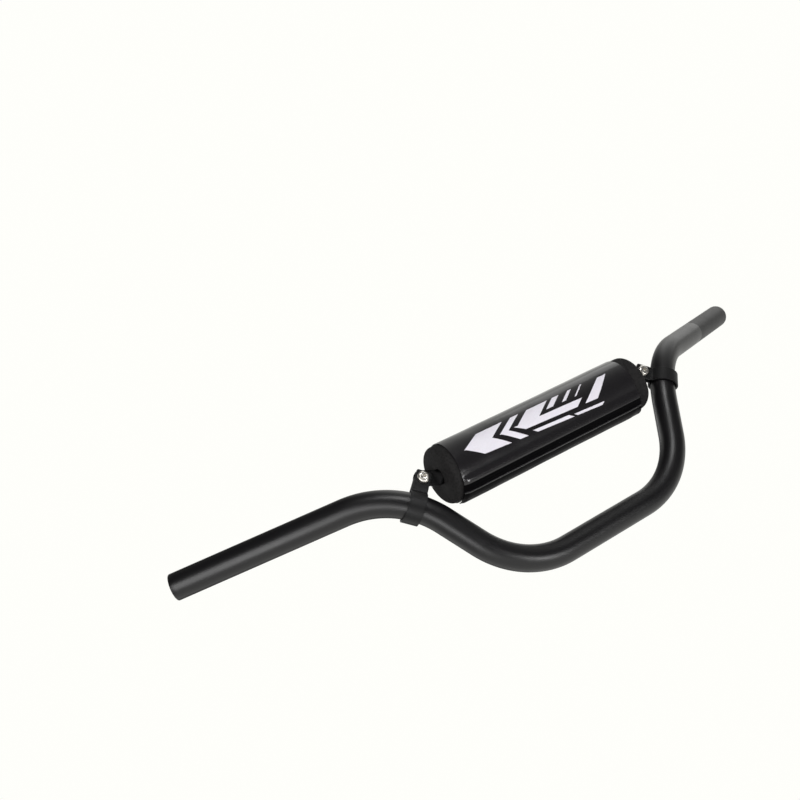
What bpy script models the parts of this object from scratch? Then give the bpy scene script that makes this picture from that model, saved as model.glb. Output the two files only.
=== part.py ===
"""Motocross handlebar: bent steel tube, bolted crossbar and wrapped foam pad.

Metres, +Z up. The origin is the centre of the clamp section of the bar. +X runs
along the bar, +Z is the rise, and the grips sweep back towards +Y.
"""
import math

import bmesh
import bpy
from mathutils import Matrix, Vector

# Gap kept between pieces that touch on the real product, and the merging of cut points
GAP = 0.0003
WELD_DISTANCE = 0.00003

# Bent bar: overall width, tube and the corners of its centre line
BAR_WIDTH = 0.600
BAR_DIAMETER = 0.021
BAR_WALL = 0.002
FOOT_CORNER_X = 0.0822
SHOULDER_X = 0.1368
SHOULDER_Z = 0.1010
GRIP_SWEEP = math.radians(26.2)
GRIP_RISE = math.radians(9.7)
FOOT_BEND_RADIUS = 0.0702
SHOULDER_BEND_RADIUS = 0.0788
BEND_STEP = math.radians(5.5)
BAR_BEVEL_RESOLUTION = 12
BAR_END_CHAMFER = 0.0004

# Crossbar: a tube with its ends pressed flat, set up a little and drilled
BOLT_HEIGHT = 0.0974
CROSSBAR_TILT = math.radians(1.0)
CROSSBAR_DIAMETER = 0.010
CROSSBAR_WALL = 0.0015
TONGUE_THICKNESS = 0.003
TONGUE_SLIT = 0.0003
TONGUE_RISE = 0.0044
TONGUE_RISE_LENGTH = 0.0128
TONGUE_FLAT = 0.0086
PRESS_LENGTH = 0.0068
CROSSBAR_STATION = 0.0012
CROSSBAR_SIDES = 24

# Clamp bolt with a button head and a hexagon socket, and its nut
BOLT_DIAMETER = 0.005
BOLT_LENGTH = 0.016
BOLT_HEAD_DIAMETER = 0.0095
BOLT_HEAD_HEIGHT = 0.00275
BOLT_HEAD_FLAT = 0.0056
BOLT_HEAD_RIM = 0.0007
BOLT_END_CHAMFER = 0.0007
SOCKET_WIDTH = 0.003
SOCKET_DEPTH = 0.0018
NUT_WIDTH = 0.008
NUT_HEIGHT = 0.004
NUT_CHAMFER = 0.0006

# Strap clamp: one folded strip of steel round the bar
STRAP_REACH = 0.02206
STRAP_WIDTH = 0.0122
STRAP_THICKNESS = 0.0013
STRAP_EAR_END = 0.0055
STRAP_EAR_FLAT = 0.0050
STRAP_EAR_CORNER = 0.0015
STRAP_NECK_RADIUS = 0.0024
STRAP_FOLD_SLACK = 0.0003
STRAP_FOLD_RADIUS = 0.0105
STRAP_TRIM = 0.001
STRAP_EDGE = 0.00025

# Foam pad, with a space to the bolt at either end
FOAM_SPACE_LEFT = 0.01275
FOAM_SPACE_RIGHT = 0.01775
FOAM_DIAMETER = 0.0462
FOAM_FRONT = 0.0008
FOAM_BORE_CLEARANCE = 0.001
FOAM_SLIT = 0.0008
FOAM_RIM_RADIUS = 0.0030

# Wrapped cover with an overlapping flap closed by two tapes
COVER_INSET_LEFT = 0.0052
COVER_INSET_RIGHT = 0.0128
COVER_THICKNESS = 0.0006
FLAP_START = math.radians(-50)
FLAP_EDGE = math.radians(-100)
FLAP_RAMP_TOP = math.radians(-28)
FLAP_RAMP_FOOT = math.radians(-44)
TAPE_INSET = 0.0045
TAPE_THICKNESS = 0.0003
TAPE_MARGIN = math.radians(3)

# Colours as on the product: linear RGB, roughness, metallic
PAINT = ((0.020, 0.020, 0.022), 0.42, 0.0)
STRAP_PAINT = ((0.016, 0.016, 0.017), 0.38, 0.0)
ZINC = ((0.75, 0.74, 0.71), 0.25, 1.0)
FOAM = ((0.016, 0.015, 0.016), 0.95, 0.0)
VINYL = ((0.010, 0.010, 0.012), 0.16, 0.0)
TAPE = ((0.014, 0.014, 0.015), 0.90, 0.0)


# Scene set-up

def clear_scene():
    for obj in list(bpy.context.scene.objects):
        bpy.data.objects.remove(obj, do_unlink=True)


def make_collection(name):
    collection = bpy.data.collections.new(name)
    bpy.context.scene.collection.children.link(collection)
    return collection


clear_scene()
PARTS = make_collection("motocross_handlebar")
CUTTERS = make_collection("cutters")


def make_material(name, look):
    colour, roughness, metallic = look
    material = bpy.data.materials.new(name)
    material.use_nodes = True
    material.diffuse_color = (*colour, 1.0)
    shader = material.node_tree.nodes["Principled BSDF"]
    shader.inputs["Base Color"].default_value = (*colour, 1.0)
    shader.inputs["Roughness"].default_value = roughness
    shader.inputs["Metallic"].default_value = metallic
    return material


# Outlines and paths

def arc(centre, radius, start, end, step):
    """Points of an arc in a plane, both ends included."""
    count = max(1, math.ceil(abs(end - start) / step))
    points = []
    for i in range(count + 1):
        angle = start + (end - start) * i / count
        points.append(Vector((centre[0] + radius * math.cos(angle), centre[1] + radius * math.sin(angle))))
    return points


def filleted(corners, radii, step):
    """A line through corners, each inner corner rounded to its radius."""
    points = [corners[0]]
    for before, corner, after, radius in zip(corners, corners[1:], corners[2:], radii):
        arrive = (corner - before).normalized()
        leave = (after - corner).normalized()
        turn = arrive.angle(leave)
        start = corner - arrive * radius * math.tan(turn / 2)
        inward = (leave - arrive * arrive.dot(leave)).normalized()
        centre = start + inward * radius
        count = max(2, math.ceil(turn / step))
        for i in range(count + 1):
            angle = turn * i / count
            points.append(centre + radius * (arrive * math.sin(angle) - inward * math.cos(angle)))
    points.append(corners[-1])
    return points


def rounded_rectangle(low, high, radius):
    """A rectangle between two corners, with every corner rounded."""
    quarter = math.pi / 2
    inner_low = Vector(low) + Vector((radius, radius))
    inner_high = Vector(high) - Vector((radius, radius))
    centres = [(inner_high.x, inner_high.y), (inner_low.x, inner_high.y),
               (inner_low.x, inner_low.y), (inner_high.x, inner_low.y)]
    points = []
    for i, centre in enumerate(centres):
        points += arc(centre, radius, quarter * i, quarter * (i + 1), quarter / 6)
    return points


# Shapes

def link_part(obj, material):
    PARTS.objects.link(obj)
    obj.data.materials.append(material)
    return obj


def as_mesh(obj):
    """A curve object turned into a mesh object in the same place."""
    bpy.context.view_layer.update()
    depsgraph = bpy.context.evaluated_depsgraph_get()
    mesh = bpy.data.meshes.new_from_object(obj.evaluated_get(depsgraph))
    shape = bmesh.new()
    shape.from_mesh(mesh)
    bmesh.ops.remove_doubles(shape, verts=shape.verts, dist=1e-6)
    shape.to_mesh(mesh)
    shape.free()
    name = obj.name
    place = obj.matrix_world.copy()
    bpy.data.objects.remove(obj, do_unlink=True)
    solid = bpy.data.objects.new(name, mesh)
    solid.matrix_world = place
    return solid


def tube_surface(name, path, radius, resolution):
    """The open outer surface of a round tube along a path."""
    curve = bpy.data.curves.new(name, "CURVE")
    curve.dimensions = "3D"
    spline = curve.splines.new("POLY")
    spline.points.add(len(path) - 1)
    for target, point in zip(spline.points, path):
        target.co = (*point, 1.0)
    curve.bevel_depth = radius
    curve.bevel_resolution = resolution
    curve.use_fill_caps = False
    obj = bpy.data.objects.new(name, curve)
    PARTS.objects.link(obj)
    return as_mesh(obj)


def plate(name, outline, thickness):
    """A flat outline in the local XY plane, extruded evenly both ways."""
    curve = bpy.data.curves.new(name, "CURVE")
    curve.dimensions = "2D"
    curve.fill_mode = "BOTH"
    curve.extrude = thickness / 2
    spline = curve.splines.new("POLY")
    spline.points.add(len(outline) - 1)
    for target, point in zip(spline.points, outline):
        target.co = (point[0], point[1], 0.0, 1.0)
    spline.use_cyclic_u = True
    obj = bpy.data.objects.new(name, curve)
    PARTS.objects.link(obj)
    return as_mesh(obj)


def strip(name, path, width, thickness):
    """A bent strip: a path in the local XY plane, its width along local Z."""
    curve = bpy.data.curves.new(name, "CURVE")
    curve.dimensions = "2D"
    curve.fill_mode = "NONE"
    curve.extrude = width / 2
    spline = curve.splines.new("POLY")
    spline.points.add(len(path) - 1)
    for target, point in zip(spline.points, path):
        target.co = (point[0], point[1], 0.0, 1.0)
    obj = bpy.data.objects.new(name, curve)
    PARTS.objects.link(obj)
    sheet = as_mesh(obj)
    solid = sheet.modifiers.new("thickness", "SOLIDIFY")
    solid.thickness = thickness
    solid.offset = 0.0
    solid.use_even_offset = True
    return sheet


def turned(name, profile, steps):
    """A profile of (radius, height) points, top to bottom, turned about local Z."""
    mesh = bpy.data.meshes.new(name)
    points = [(radius, 0.0, height) for radius, height in profile]
    mesh.from_pydata(points, [(i, i + 1) for i in range(len(points) - 1)], [])
    obj = bpy.data.objects.new(name, mesh)
    screw = obj.modifiers.new("turn", "SCREW")
    screw.axis = "Z"
    screw.steps = steps
    screw.render_steps = steps
    screw.use_merge_vertices = True
    screw.merge_threshold = 1e-6
    return obj


def prism(name, radius, height, sides):
    """A closed prism or cylinder along local Z, centred on its origin."""
    mesh = bpy.data.meshes.new(name)
    shape = bmesh.new()
    bmesh.ops.create_cone(shape, cap_ends=True, segments=sides, radius1=radius, radius2=radius, depth=height)
    shape.to_mesh(mesh)
    shape.free()
    return bpy.data.objects.new(name, mesh)


def box(name, size):
    """A closed box centred on its origin."""
    mesh = bpy.data.meshes.new(name)
    shape = bmesh.new()
    bmesh.ops.create_cube(shape, size=1.0, matrix=Matrix.Diagonal((*size, 1.0)))
    shape.to_mesh(mesh)
    shape.free()
    return bpy.data.objects.new(name, mesh)


def combine(obj, tool, operation):
    """Cut or intersect an object with a tool that follows it."""
    CUTTERS.objects.link(tool)
    tool.hide_render = True
    tool.display_type = "WIRE"
    tool.parent = obj
    modifier = obj.modifiers.new(tool.name, "BOOLEAN")
    modifier.operation = operation
    modifier.solver = "EXACT"
    modifier.object = tool


def ease_edges(obj, width, angle):
    weld = obj.modifiers.new("weld", "WELD")
    weld.merge_threshold = WELD_DISTANCE
    bevel = obj.modifiers.new("edges", "BEVEL")
    bevel.width = width
    bevel.segments = 1
    bevel.limit_method = "ANGLE"
    bevel.angle_limit = angle


def smooth(obj, angle=math.radians(35)):
    obj.data.shade_smooth()
    obj.data.set_sharp_from_angle(angle=angle)


def place_on(obj, carrier, matrix):
    obj.parent = carrier
    obj.matrix_local = matrix


# Bent bar

def bar_centre_line(step):
    """Centre line from the left bar end to the right one."""
    grip = Vector((1.0, math.tan(GRIP_SWEEP), math.tan(GRIP_RISE)))
    rim = (BAR_DIAMETER / 2 - BAR_END_CHAMFER) * math.sqrt(1.0 - grip.normalized().x ** 2)
    shoulder = Vector((SHOULDER_X, 0.0, SHOULDER_Z))
    end = shoulder + grip * (BAR_WIDTH / 2 - rim - SHOULDER_X)
    right = [Vector((FOOT_CORNER_X, 0.0, 0.0)), shoulder, end]
    left = [Vector((-point.x, point.y, point.z)) for point in reversed(right)]
    radii = [SHOULDER_BEND_RADIUS, FOOT_BEND_RADIUS, FOOT_BEND_RADIUS, SHOULDER_BEND_RADIUS]
    return filleted(left + right, radii, step)


def nearest_on_bar(target, path):
    """Seen from the front: the distance to a path, its nearest point and the
    direction of the tube there."""
    best = None
    for start, end in zip(path, path[1:]):
        along = end - start
        flat = Vector((along.x, 0.0, along.z))
        share = Vector((target.x - start.x, 0.0, target.z - start.z)).dot(flat) / flat.length_squared
        point = start + along * min(1.0, max(0.0, share))
        distance = Vector((target.x - point.x, 0.0, target.z - point.z)).length
        if best is None or distance < best[0]:
            best = (distance, point, along.normalized())
    return best


def bolt_reach():
    """Half the distance between the bolts, each a strap's reach inside the bend."""
    path = bar_centre_line(BEND_STEP / 8)
    near, far = 0.0, SHOULDER_X
    for _ in range(24):
        middle = (near + far) / 2
        if nearest_on_bar(Vector((middle, 0.0, BOLT_HEIGHT)), path)[0] > STRAP_REACH:
            near = middle
        else:
            far = middle
    return far


HALF_SPAN = bolt_reach()


def make_bar(material):
    bar = tube_surface("handlebar_tube", bar_centre_line(BEND_STEP), BAR_DIAMETER / 2, BAR_BEVEL_RESOLUTION)
    link_part(bar, material)
    smooth(bar)
    wall = bar.modifiers.new("wall", "SOLIDIFY")
    wall.thickness = BAR_WALL
    wall.offset = -1.0
    wall.use_even_offset = True
    ease_edges(bar, BAR_END_CHAMFER, math.radians(60))
    return bar


# Crossbar

def crossbar_frame():
    """An empty on the line through both bolts, leaning as the crossbar does."""
    empty = bpy.data.objects.new("crossbar_line", None)
    PARTS.objects.link(empty)
    empty.location = (0.0, 0.0, BOLT_HEIGHT)
    empty.rotation_euler = (0.0, CROSSBAR_TILT, 0.0)
    return empty


def bolt_centre(side):
    """World place of a bolt's axis where it crosses the crossbar."""
    reach = side * HALF_SPAN
    return Vector((reach * math.cos(CROSSBAR_TILT), 0.0, BOLT_HEIGHT - reach * math.sin(CROSSBAR_TILT)))


def pressed_section(x, pressed, raised, wall):
    """One ring of the crossbar: a circle that is pressed flat and raised in step."""
    radius = CROSSBAR_DIAMETER / 2
    half_thickness = radius + (TONGUE_THICKNESS / 2 - radius) * pressed
    straight = math.pi * (radius - half_thickness) / 2
    bend = half_thickness - wall
    drop = TONGUE_RISE * (1.0 - raised)
    ring = []
    for i in range(CROSSBAR_SIDES):
        angle = 2 * math.pi * (i + 0.5) / CROSSBAR_SIDES
        offset = math.copysign(straight, math.sin(angle))
        ring.append(Vector((x, bend * math.cos(angle), bend * math.sin(angle) + offset - drop)))
    return ring


def eased(x, start, length):
    """0 before a stretch along the crossbar, 1 after it and a smooth change within."""
    share = min(1.0, max(0.0, (x - start) / length))
    return share * share * (3 - 2 * share)


def tongue_half_width():
    radius = CROSSBAR_DIAMETER / 2
    return TONGUE_THICKNESS / 2 + math.pi * (radius - TONGUE_THICKNESS / 2) / 2


def crossbar_stations():
    """Places along the crossbar, how far it is pressed flat and how far raised there."""
    bolt = HALF_SPAN
    press_start = bolt - TONGUE_FLAT - PRESS_LENGTH
    rise_start = bolt - TONGUE_RISE_LENGTH
    count = math.ceil((bolt - press_start) / CROSSBAR_STATION)
    places = [press_start + (bolt - press_start) * i / count for i in range(count + 1)]
    places.append(bolt + tongue_half_width())
    half = [(x, eased(x, press_start, PRESS_LENGTH), eased(x, rise_start, TONGUE_RISE_LENGTH)) for x in places]
    return [(-x, pressed, raised) for x, pressed, raised in reversed(half)] + half


def crossbar_blank(reach, radius):
    """An outline round the crossbar that only cuts its two ends round."""
    quarter = math.pi / 2
    inner = reach - radius
    low = -TONGUE_RISE - CROSSBAR_DIAMETER
    points = arc((inner, 0.0), radius, -quarter, quarter, quarter / 8)
    points += arc((-inner, 0.0), radius, quarter, quarter * 3, quarter / 8)
    return points + [Vector((-inner, low)), Vector((inner, low))]


def make_crossbar(carrier, material):
    """Outer and inner skins lofted from round to flat, joined at the open ends."""
    shape = bmesh.new()
    skins = []
    for inner in (False, True):
        rings = []
        for x, pressed, raised in crossbar_stations():
            wall = CROSSBAR_WALL + ((TONGUE_THICKNESS - TONGUE_SLIT) / 2 - CROSSBAR_WALL) * pressed
            section = pressed_section(x, pressed, raised, wall if inner else 0.0)
            rings.append([shape.verts.new(point) for point in section])
        skins.append(rings)
    outer, inner = skins
    bands = [pair for rings in skins for pair in zip(rings, rings[1:])]
    bands += [(outer[0], inner[0]), (outer[-1], inner[-1])]
    for first, second in bands:
        for i in range(CROSSBAR_SIDES):
            j = (i + 1) % CROSSBAR_SIDES
            shape.faces.new((first[i], first[j], second[j], second[i]))
    bmesh.ops.recalc_face_normals(shape, faces=shape.faces)
    mesh = bpy.data.meshes.new("crossbar")
    shape.to_mesh(mesh)
    shape.free()
    crossbar = bpy.data.objects.new("crossbar", mesh)
    link_part(crossbar, material)
    smooth(crossbar)
    place_on(crossbar, carrier, Matrix.Identity(4))

    radius = tongue_half_width() + 0.00005
    reach = HALF_SPAN + radius
    blank = plate("crossbar_round_ends", crossbar_blank(reach, radius), CROSSBAR_DIAMETER * 2)
    blank.matrix_world = Matrix.Rotation(math.pi / 2, 4, "X")
    combine(crossbar, blank, "INTERSECT")
    for side in (-1, 1):
        drill = prism(f"crossbar_drill_{side_name(side)}", bolt_hole_radius(), CROSSBAR_DIAMETER, 24)
        drill.matrix_world = Matrix.Translation((side * HALF_SPAN, 0.0, 0.0)) @ Matrix.Rotation(
            math.pi / 2, 4, "X")
        combine(crossbar, drill, "DIFFERENCE")
    return crossbar


def side_name(side):
    return "left" if side < 0 else "right"


def bolt_hole_radius():
    return BOLT_DIAMETER / 2 + GAP


# Strap clamps

def clamp_station(side):
    """Where the strap grips the bar: the place on the centre line nearest to the bolt."""
    return nearest_on_bar(bolt_centre(side), bar_centre_line(BEND_STEP / 8))


def strap_wrap_radius():
    """Inner radius of the wrap: the tube, the gap and the bow of the bend."""
    bow = (STRAP_WIDTH / 2) ** 2 / (2 * (SHOULDER_BEND_RADIUS - BAR_DIAMETER / 2))
    return BAR_DIAMETER / 2 + GAP + bow


def ear_middle():
    """Distance of an ear's middle surface from the crossbar's middle plane."""
    return TONGUE_THICKNESS / 2 + GAP + STRAP_THICKNESS / 2


def half_strap_path(reach, tube_y):
    """Middle line of half a strap: ear end, neck, wrap and half of the fold.
    The ear lies at -Y and the tube's centre is at (0, tube_y)."""
    wrap = strap_wrap_radius() + STRAP_THICKNESS / 2
    ear_y = -ear_middle()
    neck_y = ear_y - STRAP_NECK_RADIUS
    neck_x = math.sqrt((wrap + STRAP_NECK_RADIUS) ** 2 - (neck_y - tube_y) ** 2)
    neck_angle = math.atan2(neck_y - tube_y, neck_x)
    step = math.radians(9)
    ear_x = reach - STRAP_EAR_FLAT
    points = [Vector((reach + STRAP_EAR_END + STRAP_TRIM, ear_y))]
    points += [Vector((ear_x + (neck_x - ear_x) * i / 4, ear_y)) for i in range(4)]
    points += arc((neck_x, neck_y), STRAP_NECK_RADIUS, math.pi / 2, math.pi + neck_angle, math.radians(15))
    points += arc((0.0, tube_y), wrap, neck_angle, -math.pi / 2, step)[1:]
    fold_x = -(strap_wrap_radius() + STRAP_FOLD_SLACK + STRAP_THICKNESS / 2) + STRAP_FOLD_RADIUS
    fold_y = tube_y - wrap + STRAP_FOLD_RADIUS
    points += arc((fold_x, fold_y), STRAP_FOLD_RADIUS, -math.pi / 2, -math.pi, step)
    return points


def strap_path(reach, tube_y):
    """Middle line of the whole strap, from the front ear to the rear ear."""
    front = half_strap_path(reach, tube_y)
    rear = [Vector((point.x, -point.y)) for point in half_strap_path(reach, -tube_y)]
    return front + rear[::-1]


def follow_tube(strap, slope, wrap_end, ear_start):
    """Lean the wrap with the tube while the ears stay square to the bolt."""
    for vertex in strap.data.vertices:
        share = (ear_start - vertex.co.x) / (ear_start - wrap_end)
        share = min(1.0, max(0.0, share))
        vertex.co.y += slope * vertex.co.z * share * share * (3 - 2 * share)


def make_strap(side, material):
    reach, centre, along = clamp_station(side)
    up = (bolt_centre(side) - centre)
    up.y = 0.0
    up.normalize()
    across = up.cross(Vector((0.0, 1.0, 0.0)))
    slope = along.y / along.dot(across)
    strap = strip(f"strap_clamp_{side_name(side)}", strap_path(reach, centre.y),
                  STRAP_WIDTH + 2 * STRAP_TRIM, STRAP_THICKNESS)
    follow_tube(strap, slope, strap_wrap_radius(), reach - STRAP_EAR_FLAT)
    link_part(strap, material)
    smooth(strap)
    frame = Matrix((up, (0.0, 1.0, 0.0), across)).transposed().to_4x4()
    strap.matrix_world = Matrix.Translation((centre.x, 0.0, centre.z)) @ frame

    strap.modifiers.new("flat_faces", "TRIANGULATE")
    half_width = STRAP_WIDTH / 2
    corners = rounded_rectangle((-BAR_DIAMETER * 1.5, -half_width), (reach + STRAP_EAR_END, half_width),
                                STRAP_EAR_CORNER)
    blank = plate(f"strap_blank_{side_name(side)}", corners, BAR_DIAMETER * 3)
    blank.matrix_world = Matrix.Rotation(math.pi / 2, 4, "X")
    combine(strap, blank, "INTERSECT")
    drill = prism(f"strap_drill_{side_name(side)}", bolt_hole_radius(), BAR_DIAMETER, 24)
    drill.matrix_world = Matrix.Translation((reach, 0.0, 0.0)) @ Matrix.Rotation(math.pi / 2, 4, "X")
    combine(strap, drill, "DIFFERENCE")
    ease_edges(strap, STRAP_EDGE, math.radians(50))
    return strap


# Clamp bolts and nuts, built along local Z and turned onto the Y axis

def head_seat():
    """Distance of the bolt head's seat from the crossbar's middle plane."""
    return ear_middle() + STRAP_THICKNESS / 2 + GAP


def make_bolt(side, carrier, material):
    head = BOLT_HEAD_DIAMETER / 2
    crown = BOLT_HEAD_FLAT / 2
    rise = BOLT_HEAD_HEIGHT - BOLT_HEAD_RIM
    profile = [(0.0, BOLT_HEAD_HEIGHT), (crown, BOLT_HEAD_HEIGHT)]
    for i in range(1, 5):
        angle = math.pi / 2 * (1 - i / 4)
        profile.append((crown + (head - crown) * math.cos(angle), BOLT_HEAD_RIM + rise * math.sin(angle)))
    shank = BOLT_DIAMETER / 2
    profile += [(head, 0.0), (shank, 0.0), (shank, BOLT_END_CHAMFER - BOLT_LENGTH),
                (shank - BOLT_END_CHAMFER, -BOLT_LENGTH), (0.0, -BOLT_LENGTH)]
    bolt = turned(f"clamp_bolt_{side_name(side)}", profile, 28)
    link_part(bolt, material)
    smooth(bolt)
    place_on(bolt, carrier, Matrix.Translation((side * HALF_SPAN, -head_seat(), 0.0)) @ Matrix.Rotation(
        math.pi / 2, 4, "X"))
    socket = prism(f"socket_{side_name(side)}", SOCKET_WIDTH / math.sqrt(3), SOCKET_DEPTH * 2, 6)
    socket.matrix_world = Matrix.Translation((0.0, 0.0, BOLT_HEAD_HEIGHT))
    combine(bolt, socket, "DIFFERENCE")
    return bolt


def make_nut(side, carrier, material):
    nut = prism(f"clamp_nut_{side_name(side)}", NUT_WIDTH / math.sqrt(3), NUT_HEIGHT, 6)
    link_part(nut, material)
    place_on(nut, carrier, Matrix.Translation((side * HALF_SPAN, head_seat() + NUT_HEIGHT / 2, 0.0))
             @ Matrix.Rotation(math.pi / 2, 4, "X"))
    corner = NUT_WIDTH / math.sqrt(3) + GAP
    face = NUT_WIDTH / 2
    half = NUT_HEIGHT / 2
    barrel = turned(f"nut_barrel_{side_name(side)}",
                    [(0.0, half), (face, half), (corner, half - NUT_CHAMFER), (corner, NUT_CHAMFER - half),
                     (face, -half), (0.0, -half)], 32)
    combine(nut, barrel, "INTERSECT")
    bore = prism(f"nut_bore_{side_name(side)}", bolt_hole_radius(), NUT_HEIGHT * 2, 24)
    combine(nut, bore, "DIFFERENCE")
    return nut


# Pad: local X is the front, local Y is up and local Z points along -X

def pad_frame(shift):
    turn = Matrix(((0.0, 0.0, -1.0), (-1.0, 0.0, 0.0), (0.0, 1.0, 0.0))).to_4x4()
    return Matrix.Translation((shift, -FOAM_FRONT, -TONGUE_RISE)) @ turn


def foam_ends():
    return FOAM_SPACE_LEFT - HALF_SPAN, HALF_SPAN - FOAM_SPACE_RIGHT


def cover_ends():
    left, right = foam_ends()
    return left + COVER_INSET_LEFT, right - COVER_INSET_RIGHT


def make_foam(carrier, material):
    radius = FOAM_DIAMETER / 2
    left, right = foam_ends()
    half = (right - left) / 2
    rim = arc((radius - FOAM_RIM_RADIUS, half - FOAM_RIM_RADIUS), FOAM_RIM_RADIUS, math.pi / 2, 0.0,
              math.radians(22.5))
    profile = [(0.0, half)] + [tuple(point) for point in rim]
    profile += [(x, -z) for x, z in reversed(profile)]
    foam = turned("pad_foam", profile, 48)
    link_part(foam, material)
    smooth(foam)
    place_on(foam, carrier, pad_frame((left + right) / 2))
    bore_radius = CROSSBAR_DIAMETER / 2 + FOAM_BORE_CLEARANCE
    bore = prism("foam_bore", bore_radius, half * 2.4, 28)
    bore.matrix_world = Matrix.Translation((-FOAM_FRONT, 0.0, 0.0))
    combine(foam, bore, "DIFFERENCE")
    slit = box("foam_slit", (FOAM_DIAMETER, FOAM_SLIT, half * 2.4))
    slit.matrix_world = Matrix.Translation((-FOAM_FRONT - bore_radius / 2 - FOAM_DIAMETER / 2, 0.0, 0.0))
    combine(foam, slit, "DIFFERENCE")
    return foam


def polar(radius, angle):
    return Vector((radius * math.cos(angle), radius * math.sin(angle)))


def cover_layers():
    """Middle radii of the cover's inner turn, the two tapes and the flap."""
    inner = FOAM_DIAMETER / 2 + GAP + COVER_THICKNESS / 2
    loop = inner + COVER_THICKNESS / 2 + GAP + TAPE_THICKNESS / 2
    hook = loop + TAPE_THICKNESS + GAP
    flap = hook + TAPE_THICKNESS / 2 + GAP + COVER_THICKNESS / 2
    return inner, loop, hook, flap


def cover_path():
    """One turn of the sheet, up over its own start and down to the flap's edge."""
    inner, _, _, flap = cover_layers()
    full = 2 * math.pi
    step = math.radians(7.5)
    path = arc((0.0, 0.0), inner, FLAP_START, FLAP_RAMP_TOP - full, step)
    ramp_steps = 6
    for i in range(1, ramp_steps):
        share = i / ramp_steps
        eased = share * share * (3 - 2 * share)
        path.append(polar(inner + (flap - inner) * eased, FLAP_RAMP_TOP + (FLAP_RAMP_FOOT - FLAP_RAMP_TOP) * share))
    path += arc((0.0, 0.0), flap, FLAP_RAMP_FOOT, FLAP_EDGE, step)
    return path


def make_wrap(name, path, thickness, ends, carrier, material):
    sheet = strip(name, path, ends[1] - ends[0], thickness)
    link_part(sheet, material)
    smooth(sheet)
    place_on(sheet, carrier, pad_frame((ends[0] + ends[1]) / 2))
    return sheet


def make_cover(carrier, vinyl, tape):
    _, loop, hook, _ = cover_layers()
    left, right = cover_ends()
    make_wrap("pad_cover", cover_path(), COVER_THICKNESS, (left, right), carrier, vinyl)
    for name, radius in (("loop_tape", loop), ("hook_tape", hook)):
        path = arc((0.0, 0.0), radius, FLAP_START - TAPE_MARGIN, FLAP_EDGE + TAPE_MARGIN, math.radians(7.5))
        make_wrap(name, path, TAPE_THICKNESS, (left + TAPE_INSET, right - TAPE_INSET), carrier, tape)


def main():
    paint = make_material("black_paint", PAINT)
    strap_paint = make_material("strap_paint", STRAP_PAINT)
    zinc = make_material("zinc_plate", ZINC)
    make_bar(paint)
    carrier = crossbar_frame()
    make_crossbar(carrier, paint)
    for side in (-1, 1):
        make_strap(side, strap_paint)
        make_bolt(side, carrier, zinc)
        make_nut(side, carrier, zinc)
    make_foam(carrier, make_material("pad_foam", FOAM))
    make_cover(carrier, make_material("cover_vinyl", VINYL), make_material("closure_tape", TAPE))
    bpy.context.view_layer.update()


main()
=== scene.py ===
import math

import bmesh
import bpy
from mathutils import Matrix, Vector


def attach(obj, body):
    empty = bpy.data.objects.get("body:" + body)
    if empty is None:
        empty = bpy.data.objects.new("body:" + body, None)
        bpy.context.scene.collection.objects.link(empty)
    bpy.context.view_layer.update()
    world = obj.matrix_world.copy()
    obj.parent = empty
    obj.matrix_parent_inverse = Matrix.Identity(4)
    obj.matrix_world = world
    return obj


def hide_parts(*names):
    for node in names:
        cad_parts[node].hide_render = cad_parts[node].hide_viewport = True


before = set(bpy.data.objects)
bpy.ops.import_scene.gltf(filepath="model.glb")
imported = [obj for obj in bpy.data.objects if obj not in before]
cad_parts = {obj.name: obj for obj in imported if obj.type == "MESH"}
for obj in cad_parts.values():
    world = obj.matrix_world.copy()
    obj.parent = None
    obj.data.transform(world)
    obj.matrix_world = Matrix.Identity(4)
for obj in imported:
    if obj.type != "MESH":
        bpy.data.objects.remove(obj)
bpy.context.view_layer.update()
print("frame loaded:", len(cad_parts), "nodes")


# small helpers for node trees and meshes

def addNode(tree, kind, inputs=None, **settings):
    node = tree.nodes.new(kind)
    for name, value in settings.items():
        setattr(node, name, value)
    for name, value in (inputs or {}).items():
        if isinstance(value, bpy.types.NodeSocket):
            tree.links.new(value, node.inputs[name])
        else:
            node.inputs[name].default_value = value
    return node


def calc(tree, operation, *values):
    node = tree.nodes.new("ShaderNodeMath")
    node.operation = operation
    for socket, value in zip(node.inputs, values):
        if isinstance(value, bpy.types.NodeSocket):
            tree.links.new(value, socket)
        else:
            socket.default_value = value
    return node.outputs[0]


def remap(tree, value, low, high, toLow=0.0, toHigh=1.0, interpolation="SMOOTHSTEP"):
    node = addNode(tree, "ShaderNodeMapRange", {"Value": value, "From Min": low, "From Max": high,
                                                "To Min": toLow, "To Max": toHigh},
                   interpolation_type=interpolation)
    return node.outputs["Result"]


def between(tree, value, low, high, soft):
    rise = remap(tree, value, low - soft, low + soft)
    fall = remap(tree, value, high - soft, high + soft, 1.0, 0.0)
    return calc(tree, "MULTIPLY", rise, fall)


def newMaterial(name, values):
    material = bpy.data.materials.new(name)
    material.use_nodes = True
    tree = material.node_tree
    shader = tree.nodes["Principled BSDF"]
    for key, value in values.items():
        shader.inputs[key].default_value = value
    return material, tree, shader


def objectCoords(tree):
    return tree.nodes.new("ShaderNodeTexCoord").outputs["Object"]


def noiseAt(tree, vector, scale, detail=2.0, roughness=0.5):
    node = addNode(tree, "ShaderNodeTexNoise", {"Vector": vector, "Scale": scale, "Detail": detail,
                                                "Roughness": roughness})
    return node.outputs["Fac"]


def addBump(tree, shader, height, distance, strength=1.0):
    bump = addNode(tree, "ShaderNodeBump", {"Height": height, "Distance": distance, "Strength": strength})
    tree.links.new(bump.outputs["Normal"], shader.inputs["Normal"])


def blend(tree, share, first, second):
    return addNode(tree, "ShaderNodeMix", {0: share, 6: first, 7: second}, data_type="RGBA").outputs[2]


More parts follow.
